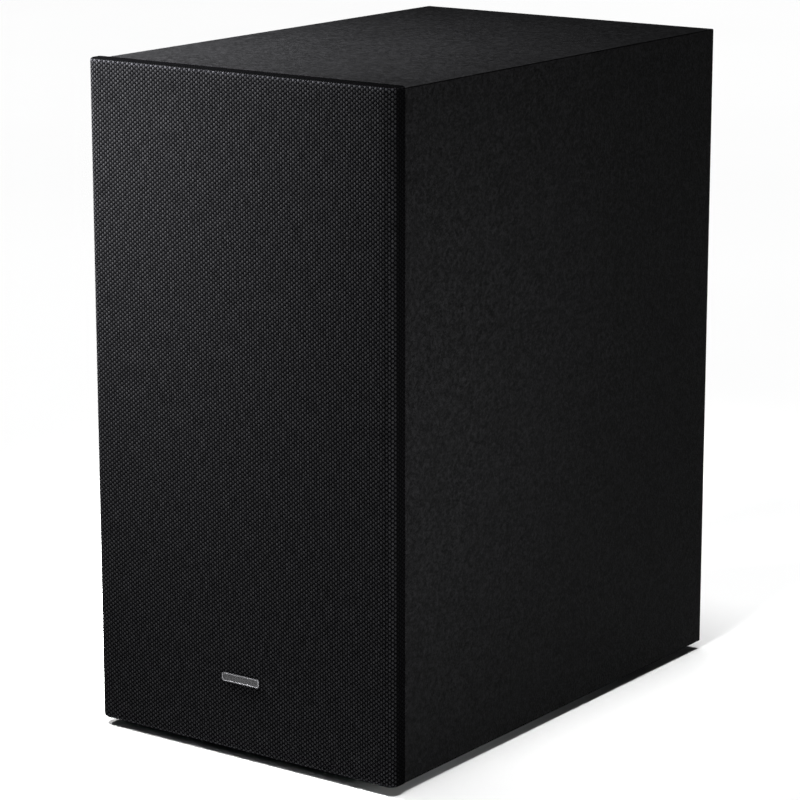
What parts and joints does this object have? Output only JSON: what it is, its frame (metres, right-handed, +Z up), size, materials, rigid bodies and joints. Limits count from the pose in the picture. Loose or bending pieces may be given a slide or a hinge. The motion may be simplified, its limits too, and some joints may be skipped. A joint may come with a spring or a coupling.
{
  "type": "wireless subwoofer",
  "caption": "Compact powered subwoofer: tall board cabinet on rubber feet with a pull-off cloth grille, a long-throw woofer behind it, a flared rear port and a rear amplifier panel.",
  "frame": {"origin": "on the floor, under the middle of the whole object's box", "axes": "+Z up, the grille faces -Y, +X to the right of someone who looks at the grille"},
  "size_m": [0.1858, 0.2946, 0.3432],
  "materials": {
    "vinyl": "fibreboard wrapped in matt black textured vinyl",
    "baffle_paint": "fibreboard, matt black paint",
    "rubber": "matt black rubber",
    "grille_cloth": "plain-woven acoustic cloth, charcoal black",
    "moulded_black": "moulded, fine texture",
    "silver_plate": "satin silver",
    "basket_paint": "pressed steel, satin black",
    "foam": "closed-cell foam",
    "surround_rubber": "smooth butyl rubber",
    "cone_paper": "pulp cone, black",
    "dust_cap": "formed, satin black",
    "coil_card": "resin-bonded card",
    "copper": "enamelled copper",
    "spider_cloth": "resin-dipped cotton",
    "motor_steel": "zinc-plated",
    "ferrite": "sintered ferrite",
    "black_zinc": "black zinc",
    "panel_paint": "fine-textured powder coat",
    "circuit_board": "green solder mask",
    "can_sleeve": "shrink sleeve",
    "heat_sink_aluminium": "extruded",
    "shield_can": "tin-plated shield",
    "pin_brass": "nickel-washed brass",
    "button_plastic": "moulded button",
    "lens": "clear light pipe",
    "white_nylon": "natural nylon",
    "red_sleeve": "red insulation",
    "black_sleeve": "black insulation",
    "wadding": "polyester wadding"
  },
  "bodies": {
    "cabinet": {"top_panel": "vinyl", "bottom_panel": "vinyl", "left_panel": "vinyl", "right_panel": "vinyl", "rear_panel": "vinyl", "front_baffle": "baffle_paint", "foot_front_left": "rubber", "foot_front_right": "rubber", "foot_rear_left": "rubber", "foot_rear_right": "rubber", "grille_socket_bottom_left": "rubber", "grille_socket_bottom_right": "rubber", "grille_socket_top_left": "rubber", "grille_socket_top_right": "rubber", "woofer_basket": "basket_paint", "woofer_gasket": "foam", "surround": "surround_rubber", "spider": "spider_cloth", "magnet_top_plate": "motor_steel", "magnet_ring": "ferrite", "magnet_yoke": "motor_steel", "terminal_strip": "coil_card", "tinsel_lead_left": "copper", "tinsel_lead_right": "copper", "woofer_screw_1": "black_zinc", "woofer_screw_2": "black_zinc", "woofer_screw_3": "black_zinc", "woofer_screw_4": "black_zinc", "port_tube": "moulded_black", "amp_panel": "panel_paint", "amp_gasket": "foam", "main_board": "circuit_board", "power_transformer": "motor_steel", "bulk_capacitor": "can_sleeve", "heat_sink": "heat_sink_aluminium", "wireless_module": "shield_can", "ac_inlet": "moulded_black", "ac_pin_left": "pin_brass", "ac_pin_right": "pin_brass", "tact_switch": "moulded_black", "led_lens": "lens", "speaker_socket": "white_nylon", "speaker_plug": "white_nylon", "amp_screw_1": "black_zinc", "amp_screw_2": "black_zinc", "amp_screw_3": "black_zinc", "amp_screw_4": "black_zinc", "amp_screw_5": "black_zinc", "amp_screw_6": "black_zinc", "speaker_wire_red": "red_sleeve", "speaker_wire_black": "black_sleeve", "damping_pad": "wadding"},
    "grille": {"grille_frame": "moulded_black", "grille_cloth": "grille_cloth", "badge": "silver_plate"},
    "cone_assembly": {"cone": "cone_paper", "dust_cap": "dust_cap", "coil_former": "coil_card", "voice_coil": "copper"},
    "id_button": {"id_button": "button_plastic"}
  },
  "joints": [
    {"name": "grille_pull", "type": "slide", "parent": "cabinet", "child": "grille", "axis": [0, -1, 0], "range_m": [0, 0.04]},
    {"name": "cone_travel", "type": "slide", "parent": "cabinet", "child": "cone_assembly", "axis": [0, -1, 0], "range_m": [-0.0045, 0.0045], "stiffness_N_per_m": 2500, "deforming": ["surround", "spider", "tinsel_lead_left", "tinsel_lead_right"]},
    {"name": "button_press", "type": "slide", "parent": "cabinet", "child": "id_button", "axis": [0, -1, 0], "range_m": [0, 0.0007], "stiffness_N_per_m": 1200, "springref_m": -0.0008}
  ]
}
